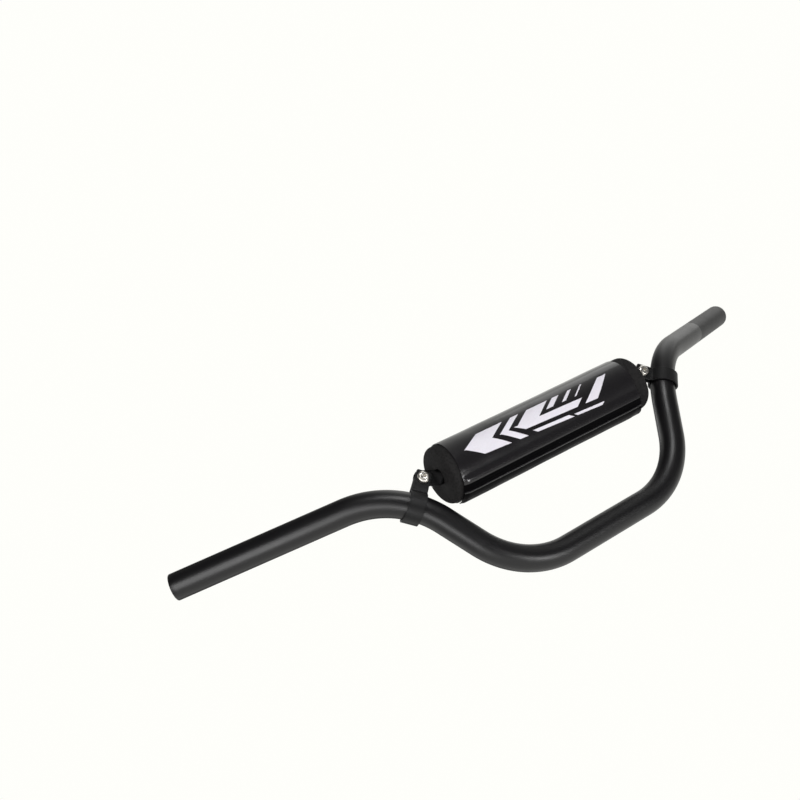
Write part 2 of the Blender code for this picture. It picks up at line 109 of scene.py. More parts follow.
def addObject(name, data):
    obj = bpy.data.objects.new(name, data)
    bpy.context.scene.collection.objects.link(obj)
    return obj


def newObject(name, mesh, material):
    obj = addObject(name, mesh)
    obj.data.materials.clear()
    obj.data.materials.append(material)
    return obj


def meshFrom(name, shape):
    mesh = bpy.data.meshes.new(name)
    shape.to_mesh(mesh)
    shape.free()
    return mesh


def settle(obj):  # modifiers and place go into the mesh, and the object sits at the origin
    bpy.context.view_layer.update()
    depsgraph = bpy.context.evaluated_depsgraph_get()
    mesh = bpy.data.meshes.new_from_object(
        obj.evaluated_get(depsgraph), preserve_all_data_layers=True, depsgraph=depsgraph)
    mesh.transform(obj.matrix_world)
    name, materials = obj.name, list(obj.data.materials)
    bpy.data.objects.remove(obj, do_unlink=True)
    if materials and not mesh.materials:
        mesh.materials.append(materials[0])
    return addObject(name, mesh)


def smoothBy(obj, degrees):
    obj.data.shade_smooth()
    obj.data.set_sharp_from_angle(angle=math.radians(degrees))


def cut(obj, tool, operation):
    modifier = obj.modifiers.new("cut", "BOOLEAN")
    modifier.operation = operation
    modifier.solver = "EXACT"
    modifier.object = tool
    tool.hide_render = True


def bevelEdges(obj, width, segments, degrees):
    bevel = obj.modifiers.new("edges", "BEVEL")
    bevel.width = width
    bevel.segments = segments
    bevel.limit_method = "ANGLE"
    bevel.angle_limit = math.radians(degrees)


def thicken(obj, thickness):
    thick = obj.modifiers.new("thickness", "SOLIDIFY")
    thick.thickness = thickness
    thick.offset = 0.0
    thick.use_even_offset = True


def cylinder(name, radius, height, sides, place=Matrix.Identity(4)):
    shape = bmesh.new()
    bmesh.ops.create_cone(shape, cap_ends=True, segments=sides, radius1=radius, radius2=radius,
                          depth=height, matrix=place)
    return addObject(name, meshFrom(name, shape))


def ease(x, start, length):
    share = min(1.0, max(0.0, (x - start) / length))
    return share * share * (3 - 2 * share)


def newTree(name, inputs):
    tree = bpy.data.node_groups.new(name, "GeometryNodeTree")
    tree.interface.new_socket(name="Geometry", in_out="INPUT", socket_type="NodeSocketGeometry")
    ids = {}
    for label, kind, value in inputs:
        socket = tree.interface.new_socket(name=label, in_out="INPUT", socket_type="NodeSocket" + kind)
        if value is not None:
            socket.default_value = value
        ids[label] = socket.identifier
    tree.interface.new_socket(name="Geometry", in_out="OUTPUT", socket_type="NodeSocketGeometry")
    return tree, tree.nodes.new("NodeGroupInput"), tree.nodes.new("NodeGroupOutput"), ids


def endTree(tree, start, end, geometry):
    real = addNode(tree, "GeometryNodeRealizeInstances", {"Geometry": geometry}).outputs[0]
    painted = addNode(tree, "GeometryNodeSetMaterial",
                      {"Geometry": real, "Material": start.outputs["material"]})
    tree.links.new(painted.outputs[0], end.inputs["Geometry"])


def runTree(obj, tree, ids, values):
    modifier = obj.modifiers.new("nodes", "NODES")
    modifier.node_group = tree
    for label, value in values.items():
        modifier[ids[label]] = value
    return settle(obj)


# camera at the photograph's place, with its slight roll

camera = {
    "place": (-0.43573, -0.68097, -0.04635),
    "right": (0.79716, -0.29501, -0.52678),
    "up": (0.39003, -0.41439, 0.82229),
    "lens": 46.04,
    "shift": (-0.0626, 0.0375),
}


def makeCamera():
    data = bpy.data.cameras.new("camera")
    data.lens = camera["lens"]
    data.sensor_width = 36
    data.shift_x, data.shift_y = camera["shift"]
    data.clip_start = 0.01
    obj = addObject("camera", data)
    right = Vector(camera["right"]).normalized()
    up = Vector(camera["up"]).normalized()
    matrix = Matrix((right, up, right.cross(up))).transposed().to_4x4()
    matrix.translation = camera["place"]
    obj.matrix_world = matrix
    bpy.context.scene.camera = obj


makeCamera()
print("camera placed")


# the bar's own line, in metres

bar = {
    "width": 0.600,
    "radius": 0.0105,
    "wall": 0.002,
    "chamfer": 0.0004,
    "footCorner": 0.0822,
    "shoulder": (0.1368, 0.1010),
    "sweep": 26.2,
    "rise": 9.7,
    "footBend": 0.0702,
    "shoulderBend": 0.0788,
    "sides": 72,
    "clampHalf": 0.0355,
    "matteEnd": 0.082,
    "zoneBlur": (0.0007, 0.0004),
    "colour": (0.0026, 0.0023, 0.0029, 1.0),
    "dust": (0.018, 0.017, 0.019, 1.0),
}


def rounded(corners, radii, step):
    points = [corners[0]]
    for before, corner, after, radius in zip(corners, corners[1:], corners[2:], radii):
        arrive = (corner - before).normalized()
        leave = (after - corner).normalized()
        turn = arrive.angle(leave)
        start = corner - arrive * radius * math.tan(turn / 2)
        inward = (leave - arrive * arrive.dot(leave)).normalized()
        centre = start + inward * radius
        count = max(2, math.ceil(turn / step))
        for i in range(count + 1):
            angle = turn * i / count
            points.append(centre + radius * (arrive * math.sin(angle) - inward * math.cos(angle)))
    points.append(corners[-1])
    return points


def barLine(step=math.radians(1.5)):
    grip = Vector((1.0, math.tan(math.radians(bar["sweep"])), math.tan(math.radians(bar["rise"]))))
    rim = (bar["radius"] - bar["chamfer"]) * math.sqrt(1.0 - grip.normalized().x ** 2)
    shoulder = Vector((bar["shoulder"][0], 0.0, bar["shoulder"][1]))
    end = shoulder + grip * (bar["width"] / 2 - rim - bar["shoulder"][0])
    right = [Vector((bar["footCorner"], 0.0, 0.0)), shoulder, end]
    left = [Vector((-p.x, p.y, p.z)) for p in reversed(right)]
    radii = [bar["shoulderBend"], bar["footBend"], bar["footBend"], bar["shoulderBend"]]
    return rounded(left + right, radii, step)


def lineLength(points):
    return sum((b - a).length for a, b in zip(points, points[1:]))


def spread(points, spacing):  # adds points on the long straight stretches
    out = [points[0]]
    for a, b in zip(points, points[1:]):
        count = max(1, math.ceil((b - a).length / spacing))
        out += [a.lerp(b, (i + 1) / count) for i in range(count)]
    return out


def tubePaint():
    material, tree, shader = newMaterial("satin black paint", {
        "Base Color": bar["colour"], "Roughness": 0.38, "Specular IOR Level": 0.5, "IOR": 1.5,
    })
    where = objectCoords(tree)
    along = addNode(tree, "ShaderNodeAttribute", attribute_name="along").outputs["Fac"]
    total = lineLength(barLine())
    half, edge = bar["clampHalf"], total - bar["matteEnd"]
    footBlur, endBlur = bar["zoneBlur"]
    onFoot = between(tree, along, total / 2 - half, total / 2 + half, footBlur)
    onEnd = remap(tree, along, edge - endBlur, edge + endBlur)
    peel = noiseAt(tree, where, 900.0, 3.0)
    addBump(tree, shader, calc(tree, "MULTIPLY", peel, 0.22), 0.000035)
    # patches of slightly duller paint, and the two duller zones
    cloud = noiseAt(tree, where, 22.0, 5.0, 0.6)
    rough = remap(tree, cloud, 0.3, 0.7, 0.35, 0.41, "LINEAR")
    rough = calc(tree, "ADD", rough, calc(tree, "MULTIPLY", onFoot, 0.02))
    rough = calc(tree, "ADD", rough, calc(tree, "MULTIPLY", onEnd, 0.16))
    tree.links.new(rough, shader.inputs["Roughness"])
    dust = remap(tree, noiseAt(tree, where, 320.0, 6.0, 0.7), 0.62, 0.78, 0.0, 0.25)
    tree.links.new(blend(tree, dust, bar["colour"], bar["dust"]), shader.inputs["Base Color"])
    return material


def makeTube():
    material = tubePaint()
    tree, start, end, ids = newTree("bent tube", [("radius", "Float", 0.01), ("wall", "Float", 0.002),
                                                  ("sides", "Int", 64), ("material", "Material", None)])
    length = tree.nodes.new("GeometryNodeSplineParameter").outputs["Length"]
    marked = addNode(tree, "GeometryNodeStoreNamedAttribute",
                     {"Geometry": start.outputs["Geometry"], "Name": "along", "Value": length},
                     data_type="FLOAT", domain="POINT").outputs["Geometry"]
    bore = calc(tree, "SUBTRACT", start.outputs["radius"], start.outputs["wall"])
    skins = []
    for radius in (start.outputs["radius"], bore):
        ring = addNode(tree, "GeometryNodeCurvePrimitiveCircle",
                       {"Resolution": start.outputs["sides"], "Radius": radius}).outputs["Curve"]
        swept = addNode(tree, "GeometryNodeCurveToMesh", {"Curve": marked, "Profile Curve": ring})
        skins.append(swept.outputs[0])
    skins[1] = addNode(tree, "GeometryNodeFlipFaces", {"Mesh": skins[1]}).outputs[0]
    joined = tree.nodes.new("GeometryNodeJoinGeometry")
    for skin in skins:
        tree.links.new(skin, joined.inputs[0])
    endTree(tree, start, end, joined.outputs[0])

    curve = bpy.data.curves.new("bar line", "CURVE")
    curve.dimensions = "3D"
    points = spread(barLine(), 0.004)
    spline = curve.splines.new("POLY")
    spline.points.add(len(points) - 1)
    for target, point in zip(spline.points, points):
        target.co = (*point, 1.0)
    tube = runTree(addObject("barTube", curve), tree, ids, {
        "radius": bar["radius"], "wall": bar["wall"], "sides": bar["sides"], "material": material,
    })
    shape = bmesh.new()
    shape.from_mesh(tube.data)
    bmesh.ops.remove_doubles(shape, verts=shape.verts, dist=1e-7)
    for side in (-1, 1):
        rim = [e for e in shape.edges if e.is_boundary and e.verts[0].co.x * side > 0]
        bmesh.ops.bridge_loops(shape, edges=rim)
    bmesh.ops.recalc_face_normals(shape, faces=shape.faces)
    shape.to_mesh(tube.data)
    shape.free()
    bevelEdges(tube, bar["chamfer"], 3, 60)
    tube = settle(tube)
    smoothBy(tube, 50)
    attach(tube, "root")
    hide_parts("handlebar_tube")


makeTube()
print("bent tube made")


# crossbar, pressed flat and raised at its ends

crossbar = {
    "boltHeight": 0.0974,
    "tilt": 1.0,
    "radius": 0.005,
    "wall": 0.0015,
    "boltSpan": 0.227499,
    "tongue": 0.003,
    "slit": 0.0003,
    "raise": 0.0044,
    "raiseLength": 0.0128,
    "flat": 0.0086,
    "press": 0.0068,
    "sides": 48,
}


def crossbarMatrix():
    return Matrix.Translation((0.0, 0.0, crossbar["boltHeight"])) @ Matrix.Rotation(
        math.radians(crossbar["tilt"]), 4, "Y")


def tongueHalfWidth():
    return crossbar["tongue"] / 2 + math.pi * (crossbar["radius"] - crossbar["tongue"] / 2) / 2


def blackCoat(name, roughness, grain, gloss, tone):
    base = (tone, tone, tone * 1.05, 1.0)
    material, tree, shader = newMaterial(name, {
        "Base Color": base, "Roughness": roughness, "Specular IOR Level": gloss,
    })
    where = objectCoords(tree)
    peel = noiseAt(tree, where, grain, 4.0, 0.6)
    addBump(tree, shader, peel, 0.00006, 0.6)
    cloud = noiseAt(tree, where, 60.0, 4.0)
    tree.links.new(remap(tree, cloud, 0.3, 0.7, roughness - 0.05, roughness + 0.08, "LINEAR"),
                   shader.inputs["Roughness"])
    # rubbed edges and specks show a little greyer
    worn = addNode(tree, "ShaderNodeNewGeometry").outputs["Pointiness"]
    rubbed = calc(tree, "MULTIPLY", remap(tree, worn, 0.53, 0.60), remap(tree, cloud, 0.45, 0.65))
    colour = blend(tree, calc(tree, "MULTIPLY", rubbed, 0.5), base, (0.05, 0.05, 0.05, 1.0))
    tree.links.new(colour, shader.inputs["Base Color"])
    return material


def makeCrossbar():
    boltX, tip = crossbar["boltSpan"] / 2, tongueHalfWidth()
    pressStart = boltX - crossbar["flat"] - crossbar["press"]
    raiseStart = boltX - crossbar["raiseLength"]
    places = [pressStart * i / 20 for i in range(20)]
    places += [pressStart + (boltX - pressStart) * i / 26 for i in range(27)]
    places += [boltX + tip * math.sin(math.pi / 2 * i / 10) for i in range(1, 10)]
    places.append(boltX + tip * 0.9999)
    places = [-x for x in reversed(places[1:])] + places
    shape = bmesh.new()
    skins = []
    for inner in (False, True):
        rings = []
        for x in places:
            pressed = ease(abs(x), pressStart, crossbar["press"])
            raised = ease(abs(x), raiseStart, crossbar["raiseLength"])
            flatWall = (crossbar["tongue"] - crossbar["slit"]) / 2
            wall = crossbar["wall"] + (flatWall - crossbar["wall"]) * pressed
            halfThick = crossbar["radius"] + (crossbar["tongue"] / 2 - crossbar["radius"]) * pressed
            straight = math.pi * (crossbar["radius"] - halfThick) / 2
            bend = halfThick - (wall if inner else 0.0)
            over = max(0.0, abs(x) - boltX) / tip
            narrow = math.sqrt(max(0.0004, 1.0 - over * over))  # rounds the tongue's end
            ring = []
            for i in range(crossbar["sides"]):
                angle = 2 * math.pi * (i + 0.5) / crossbar["sides"]
                height = bend * math.sin(angle) + math.copysign(straight, math.sin(angle))
                height = height * narrow - crossbar["raise"] * (1.0 - raised)
                ring.append(shape.verts.new((x, bend * math.cos(angle), height)))
            rings.append(ring)
        skins.append(rings)
    outer, inner = skins
    bands = [pair for rings in skins for pair in zip(rings, rings[1:])]
    bands += [(outer[0], inner[0]), (outer[-1], inner[-1])]
    for first, second in bands:
        for i in range(crossbar["sides"]):
            j = (i + 1) % crossbar["sides"]
            shape.faces.new((first[i], first[j], second[j], second[i]))
    bmesh.ops.recalc_face_normals(shape, faces=shape.faces)
    mesh = meshFrom("crossbarTube", shape)
    mesh.transform(crossbarMatrix())
    piece = newObject("crossbarTube", mesh, blackCoat("crossbar paint", 0.50, 700.0, 0.12, 0.0035))
    smoothBy(piece, 45)
    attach(piece, "root")
    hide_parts("crossbar")


makeCrossbar()
print("crossbar made")


# strap clamps, one folded strip each

strap = {
    "width": 0.0122,
    "thickness": 0.0013,
    "earEnd": 0.0055,
    "earFlat": 0.0050,
    "corner": 0.0015,
    "neck": 0.0024,
    "slack": 0.0003,
    "fold": 0.0105,
    "gap": 0.0003,
    "edge": 0.0003,
    "hole": 0.0028,
    "cutDepth": 0.07,
    "spareWidth": 0.002,
    "spareEnd": 0.001,
}


def arcPoints(centre, radius, start, end, step):
    count = max(1, math.ceil(abs(end - start) / step))
    angles = [start + (end - start) * i / count for i in range(count + 1)]
    return [Vector((centre[0] + radius * math.cos(a), centre[1] + radius * math.sin(a))) for a in angles]


def boltPlace(side):
    return crossbarMatrix() @ Vector((side * crossbar["boltSpan"] / 2, 0.0, 0.0))


def strapStation(side):
    target = boltPlace(side)
    path = barLine(math.radians(0.6))
    best = None
    for start, end in zip(path, path[1:]):
        along = end - start
        flat = Vector((along.x, 0.0, along.z))
        share = Vector((target.x - start.x, 0.0, target.z - start.z)).dot(flat) / flat.length_squared
        point = start + along * min(1.0, max(0.0, share))
        distance = Vector((target.x - point.x, 0.0, target.z - point.z)).length
        if best is None or distance < best[0]:
            best = (distance, point, along.normalized())
    return best


def earMiddle():
    return crossbar["tongue"] / 2 + strap["gap"] + strap["thickness"] / 2


def earSeat():  # where a bolt's head or a nut stops, outside the ear
    return earMiddle() + strap["thickness"] / 2 + strap["gap"]


def halfStrap(reach, tubeY):
    bow = (strap["width"] / 2) ** 2 / (2 * (bar["shoulderBend"] - bar["radius"]))
    inner = bar["radius"] + strap["gap"] + bow
    wrap = inner + strap["thickness"] / 2
    earY = -earMiddle()
    neckY = earY - strap["neck"]
    neckX = math.sqrt((wrap + strap["neck"]) ** 2 - (neckY - tubeY) ** 2)
    turn = math.atan2(neckY - tubeY, neckX)
    earX = reach - strap["earFlat"]
    points = [Vector((reach + strap["earEnd"] + strap["spareEnd"], earY))]
    points += [Vector((earX + (neckX - earX) * i / 8, earY)) for i in range(8)]
    points += arcPoints((neckX, neckY), strap["neck"], math.pi / 2, math.pi + turn, math.radians(8))
    points += arcPoints((0.0, tubeY), wrap, turn, -math.pi / 2, math.radians(4))[1:]
    foldX = -(inner + strap["slack"] + strap["thickness"] / 2) + strap["fold"]
    foldY = tubeY - wrap + strap["fold"]
    points += arcPoints((foldX, foldY), strap["fold"], -math.pi / 2, -math.pi, math.radians(5))
    return points, inner


def ribbon(name, path, width):
    mesh = bpy.data.meshes.new(name)
    vertices = [(p.x, p.y, side * width / 2) for p in path for side in (-1, 1)]
    faces = [(2 * i, 2 * i + 1, 2 * i + 3, 2 * i + 2) for i in range(len(path) - 1)]
    mesh.from_pydata(vertices, [], faces)
    return mesh


def flatPlate(name, outline, thickness):
    shape = bmesh.new()
    low = [shape.verts.new((p[0], -thickness / 2, p[1])) for p in outline]
    high = [shape.verts.new((p[0], thickness / 2, p[1])) for p in outline]
    shape.faces.new(low)
    shape.faces.new(high)
    for i in range(len(outline)):
        j = (i + 1) % len(outline)
        shape.faces.new((low[i], low[j], high[j], high[i]))
    bmesh.ops.recalc_face_normals(shape, faces=shape.faces)
    return meshFrom(name, shape)


def makeStrap(side, name, node, material):
    reach, centre, along = strapStation(side)
    up = boltPlace(side) - centre
    up.y = 0.0
    up.normalize()
    across = up.cross(Vector((0.0, 1.0, 0.0)))
    slope = along.y / along.dot(across)
    front, inner = halfStrap(reach, centre.y)
    rear = [Vector((p.x, -p.y)) for p in halfStrap(reach, -centre.y)[0]]
    path = front + rear[::-1]
    path = [p for i, p in enumerate(path) if i == 0 or (p - path[i - 1]).length > 1e-7]
    mesh = ribbon(name, path, strap["width"] + strap["spareWidth"])
    earStart = reach - strap["earFlat"]
    for vertex in mesh.vertices:  # the wrap follows the tube's slope, and the ears stay upright
        vertex.co.y += slope * vertex.co.z * ease(-vertex.co.x, -earStart, earStart - inner)
    obj = newObject(name, mesh, material)
    obj.matrix_world = Matrix.Translation((centre.x, 0.0, centre.z)) @ Matrix(
        (up, (0.0, 1.0, 0.0), across)).transposed().to_4x4()
    thicken(obj, strap["thickness"])
    obj.modifiers.new("triangles", "TRIANGULATE")
    half, depth = strap["width"] / 2, strap["cutDepth"]
    low, high, corner = -depth / 2, reach + strap["earEnd"], strap["corner"]
    outline = [Vector((low, -half)), Vector((low, half))]
    for cx, cy, turn in ((high - corner, half - corner, math.pi / 2), (high - corner, corner - half, 0.0)):
        outline += arcPoints((cx, cy), corner, turn, turn - math.pi / 2, math.radians(11))
    plate = newObject("plate", flatPlate("plate", outline, depth), material)
    drill = cylinder("drill", strap["hole"], depth, 48,
                     Matrix.Translation((reach, 0.0, 0.0)) @ Matrix.Rotation(math.pi / 2, 4, "X"))
    for tool in (plate, drill):
        tool.matrix_world = obj.matrix_world
    cut(obj, plate, "INTERSECT")
    cut(obj, drill, "DIFFERENCE")
    weld = obj.modifiers.new("weld", "WELD")
    weld.merge_threshold = 0.00003
    bevelEdges(obj, strap["edge"], 3, 50)
    piece = settle(obj)
    for tool in (plate, drill):
        bpy.data.objects.remove(tool, do_unlink=True)
    smoothBy(piece, 28)
    normals = piece.modifiers.new("even shading", "WEIGHTED_NORMAL")
    normals.keep_sharp = True
    piece = settle(piece)
    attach(piece, "root")
    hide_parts(node)


strapCoat = blackCoat("strap coating", 0.48, 900.0, 0.26, 0.006)
makeStrap(-1, "leftStrap", "strap_clamp_left", strapCoat)
makeStrap(1, "rightStrap", "strap_clamp_right", strapCoat)
print("strap clamps made")


# button head bolts with real threads, and their nuts

bolt = {
    "head": 0.00475,
    "headHeight": 0.00275,
    "crown": 0.0028,
    "rim": 0.0007,
    "shank": 0.0025,
    "length": 0.016,
    "socket": 0.003,
    "socketDepth": 0.0018,
    "pitch": 0.0008,
    "threadDepth": 0.00038,
    "threadLength": 0.0125,
    "threadGap": 0.0006,
    "edge": 0.00012,
    "nutWidth": 0.008,
    "nutHeight": 0.004,
    "nutChamfer": 0.0006,
    "nutEdge": 0.0001,
}


def zincPlate():
    material, tree, shader = newMaterial("bright zinc plate", {
        "Base Color": (0.82, 0.79, 0.74, 1.0), "Metallic": 1.0, "Roughness": 0.36,
    })
    where = objectCoords(tree)
    cloud = noiseAt(tree, where, 450.0, 4.0, 0.6)
    colour = addNode(tree, "ShaderNodeValToRGB", {"Fac": cloud})
    colour.color_ramp.elements[0].position = 0.35
    colour.color_ramp.elements[0].color = (0.66, 0.62, 0.55, 1.0)
    colour.color_ramp.elements[1].position = 0.62
    colour.color_ramp.elements[1].color = (0.86, 0.84, 0.80, 1.0)
    tree.links.new(colour.outputs["Color"], shader.inputs["Base Color"])
    tree.links.new(remap(tree, noiseAt(tree, where, 1500.0, 3.0), 0.3, 0.7, 0.30, 0.42, "LINEAR"),
                   shader.inputs["Roughness"])
    addBump(tree, shader, noiseAt(tree, where, 2600.0, 3.0), 0.00002, 0.5)
    return material


def revolve(name, profile, steps):
    mesh = bpy.data.meshes.new(name)
    mesh.from_pydata([(r, 0.0, h) for r, h in profile], [(i, i + 1) for i in range(len(profile) - 1)], [])
    obj = addObject(name, mesh)
    screw = obj.modifiers.new("turn", "SCREW")
    screw.axis = "Z"
    screw.steps = steps
    screw.render_steps = steps
    screw.use_merge_vertices = True
    screw.merge_threshold = 1e-7
    return obj


def onBoltLine(side, depth):  # local z runs along the bolt, towards its head
    place = Matrix.Translation((side * crossbar["boltSpan"] / 2, depth, 0.0))
    return crossbarMatrix() @ place @ Matrix.Rotation(math.pi / 2, 4, "X")


def threadTree():
    tree, start, end, ids = newTree("thread", [("turns", "Float", 10.0), ("radius", "Float", 0.0025),
                                               ("height", "Float", 0.01), ("depth", "Float", 0.0004),
                                               ("steps", "Int", 24), ("material", "Material", None)])
    spiral = addNode(tree, "GeometryNodeCurveSpiral",
                     {"Resolution": start.outputs["steps"], "Rotations": start.outputs["turns"],
                      "Start Radius": start.outputs["radius"], "End Radius": start.outputs["radius"],
                      "Height": start.outputs["height"]}).outputs[0]
    ridge = addNode(tree, "GeometryNodeCurvePrimitiveCircle",
                    {"Resolution": 3, "Radius": start.outputs["depth"]})
    swept = addNode(tree, "GeometryNodeCurveToMesh", {"Curve": spiral, "Profile Curve": ridge.outputs[0],
                                                      "Fill Caps": True}).outputs[0]
    endTree(tree, start, end, swept)
    return tree, ids


def makeBolt(side, name, node, material, thread):
    head, crown, rise = bolt["head"], bolt["crown"], bolt["headHeight"] - bolt["rim"]
    profile = [(0.0, bolt["headHeight"]), (crown, bolt["headHeight"])]
    for i in range(1, 13):
        angle = math.pi / 2 * (1 - i / 12)
        profile.append((crown + (head - crown) * math.cos(angle), bolt["rim"] + rise * math.sin(angle)))
    shank, length, gap = bolt["shank"], bolt["length"], bolt["threadGap"]
    core, neck = shank - bolt["threadDepth"] * 0.8, -length + bolt["threadLength"]
    profile += [(head, 0.0), (shank, 0.0), (shank, neck), (core, neck - 0.0002), (core, gap - length),
                (core - 0.0005, -length), (0.0, -length)]
    obj = revolve(name, profile, 64)
    obj.data.materials.append(material)
    socket = cylinder("socket", bolt["socket"] / math.sqrt(3), bolt["socketDepth"] * 2, 6)
    socket.location.z = bolt["headHeight"]
    bpy.context.view_layer.update()
    cut(obj, socket, "DIFFERENCE")
    bevelEdges(obj, bolt["edge"], 2, 50)
    body = settle(obj)
    bpy.data.objects.remove(socket, do_unlink=True)
    smoothBy(body, 35)

    tree, ids = thread
    host = newObject("thread", bpy.data.meshes.new("thread"), material)
    run = bolt["threadLength"] - 2 * gap
    ridge = runTree(host, tree, ids, {"turns": run / bolt["pitch"], "radius": core, "height": run,
                                      "depth": bolt["threadDepth"], "steps": 28, "material": material})
    shape = bmesh.new()
    shape.from_mesh(body.data)
    ridge.data.transform(Matrix.Translation((0.0, 0.0, -length + gap)))
    shape.from_mesh(ridge.data)
    bpy.data.objects.remove(ridge, do_unlink=True)
    shape.to_mesh(body.data)
    shape.free()
    body.data.transform(onBoltLine(side, -earSeat()) @ Matrix.Rotation(math.radians(17 * side + 12), 4, "Z"))
    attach(body, "root")
    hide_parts(node)


def makeNut(side, name, node, material):
    corner, face, half = bolt["nutWidth"] / math.sqrt(3), bolt["nutWidth"] / 2, bolt["nutHeight"] / 2
    obj = cylinder(name, corner, bolt["nutHeight"], 6)
    obj.data.materials.append(material)
    wide, drop = corner + 0.0003, bolt["nutChamfer"]
    barrel = revolve("barrel", [(0.0, half), (face, half), (wide, half - drop),
                                (wide, drop - half), (face, -half), (0.0, -half)], 64)
    bore = cylinder("bore", bolt["shank"] + 0.0003, bolt["nutHeight"] * 2, 48)
    cut(obj, barrel, "INTERSECT")
    cut(obj, bore, "DIFFERENCE")
    bevelEdges(obj, bolt["nutEdge"], 2, 40)
    piece = settle(obj)
    for tool in (barrel, bore):
        bpy.data.objects.remove(tool, do_unlink=True)
    smoothBy(piece, 35)
    piece.data.transform(onBoltLine(side, earSeat() + half))
    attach(piece, "root")
    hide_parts(node)


zinc = zincPlate()
thread = threadTree()
makeBolt(-1, "leftBolt", "clamp_bolt_left", zinc, thread)
makeBolt(1, "rightBolt", "clamp_bolt_right", zinc, thread)
makeNut(-1, "leftNut", "clamp_nut_left", zinc)
makeNut(1, "rightNut", "clamp_nut_right", zinc)
print("bolts and nuts made")


# pad: foam roll, wrapped cover and the two closure tapes

pad = {
    "length": 0.197,
    "foamRadius": 0.0231,
    "shift": -0.0025,
    "front": 0.0008,
    "bore": 0.006,
    "slit": 0.0008,
    "rim": 0.0035,
    "mouth": 0.0012,
    "crown": 0.0006,
    "gap": 0.0003,
    "cover": 0.0006,
    "tape": 0.0003,
    "flapStart": -50.0,
    "flapEdge": -100.0,
    "rampTop": -28.0,
    "rampFoot": -44.0,
    "ridge": -45.5,
    "welt": -62.5,
    "weltHeight": 0.0005,
    "weltWidth": 1.5,
    "weltStrip": 0.8,
    "turnStep": 3.0,
    "flapStep": 0.9,
    "bandLines": ((-61.5, 0.0006), (-82.0, 0.0008)),
    "slack": (-112.0, -38.0),
    "slackDepth": (0.0001, 0.0009),
    "slackBlur": 12.0,
    "drift": (-0.1, 0.2),
    "borderPress": (0.0010, 0.0003),
    "endSwell": 0.0018,
    "endLength": 0.03,
    "borderLength": 0.0045,
    "lift": 0.0010,
    "flapCorner": (0.0002, 0.0062),
    "coverEnds": (-0.0958, 0.0832),
    "coverSkew": 0.0026,
    "tapeEnds": (-0.0913, 0.0787),
    "tapeMargin": 3.0,
    "vinyl": (0.0105, 0.0098, 0.0108, 1.0),
    "print": (0.70, 0.675, 0.73, 1.0),
    # near-black of the flap band: a matte strip's colour with painted shade under the ridge
    "band": (0.0022, 0.0021, 0.0024, 1.0),
    "rows": (0.030, 0.028, 0.031, 1.0),
}


def padMatrix():  # local x along the pad, y to the front, z up
    turn = Matrix(((1.0, 0.0, 0.0), (0.0, -1.0, 0.0), (0.0, 0.0, 1.0))).to_4x4()
    return crossbarMatrix() @ Matrix.Translation((0.0, -pad["front"], -crossbar["raise"])) @ turn


def softness(x, angle):  # how far the roll stands from a true cylinder there, in metres
    slow = math.sin(x * 41.0 + 1.3) * math.cos(angle * 2 + x * 9.0) * 0.00010
    quick = math.sin(x * 173.0 + angle * 3.0) * 0.00004
    return slow + quick


def slack(x, angle):  # the roll hangs a little full underneath, more so at its right end
    turn = (math.degrees(angle) + 180.0) % 360.0 - 180.0
    low, high = pad["slack"]
    blur = pad["slackBlur"]
    share = min(ease(turn, low - blur, 2 * blur), 1.0 - ease(turn, high - blur, 2 * blur))
    left, right = pad["slackDepth"]
    return (left + (right - left) * ease(x, *pad["drift"])) * share


def press(x, radius):  # the flap's end borders, past the tapes, lie down on the turn below
    inner, _, _, flap = layerRadii()
    low, high = pad["tapeEnds"]
    left, right = pad["borderPress"]
    length = pad["borderLength"]
    depth = max(left * ease(-x, -low, length), right * ease(x, high, length))
    return -depth * max(0.0, radius - inner) / (flap - inner)


def lift(x):  # the roll sits a little high on the crossbar at its right end
    return pad["lift"] * ease(x, *pad["drift"])


def onPad(x, radius, angle):
    r = radius + softness(x, angle) + slack(x, angle) + press(x, radius)
    return Vector((x, r * math.cos(angle), r * math.sin(angle) + lift(x)))


def foamMaterial():
    material, tree, shader = newMaterial("closed cell foam", {
        "Base Color": (0.009, 0.008, 0.008, 1.0), "Roughness": 0.92, "Specular IOR Level": 0.22,
    })
    where = objectCoords(tree)
    cells = addNode(tree, "ShaderNodeTexVoronoi", {"Vector": where, "Scale": 1300.0})
    coarse = addNode(tree, "ShaderNodeTexVoronoi", {"Vector": where, "Scale": 520.0})
    pits = calc(tree, "MULTIPLY", coarse.outputs["Distance"], 0.7)
    height = calc(tree, "ADD", cells.outputs["Distance"], pits)
    addBump(tree, shader, height, 0.00016, 0.8)
    # the coarse pits are painted darker: painted shade in the pits
    tone = remap(tree, coarse.outputs["Distance"], 0.1, 0.6, 0.0, 1.0)
    colour = blend(tree, tone, (0.0055, 0.0052, 0.0052, 1.0), (0.0125, 0.0118, 0.0118, 1.0))
    tree.links.new(colour, shader.inputs["Base Color"])
    return material


